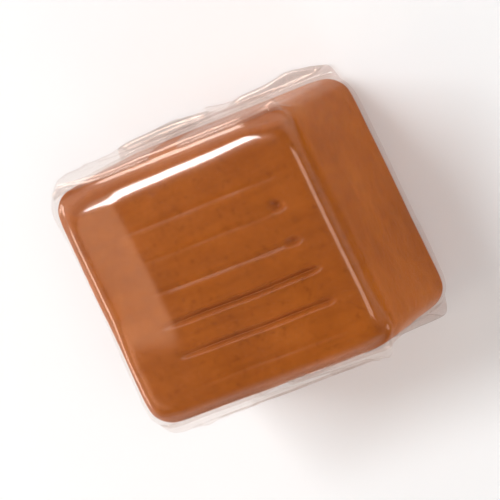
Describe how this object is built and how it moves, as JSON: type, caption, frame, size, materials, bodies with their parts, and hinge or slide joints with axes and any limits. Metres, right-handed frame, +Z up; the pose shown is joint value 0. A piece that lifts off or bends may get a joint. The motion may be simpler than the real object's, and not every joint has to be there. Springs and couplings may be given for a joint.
{
  "type": "wrapped caramel square",
  "caption": "Soft caramel square with rounded edges and a grooved top, in a clear film wrapper folded at its ends with a short loose fin at each foot.",
  "frame": {"origin": "on the floor under the middle of the wrapped piece", "axes": "+Z up; the film tube runs along X with a folded end at +X and one at -X; the grooves of the top run along Y"},
  "size_m": [0.0242, 0.0226, 0.0171],
  "materials": {
    "caramel": "smooth, slightly waxy cooked sugar and milk, warm brown",
    "film": "thin clear glossy cellophane"
  },
  "bodies": {
    "root": {"caramel": "caramel", "wrapper": "film"}
  },
  "joints": []
}
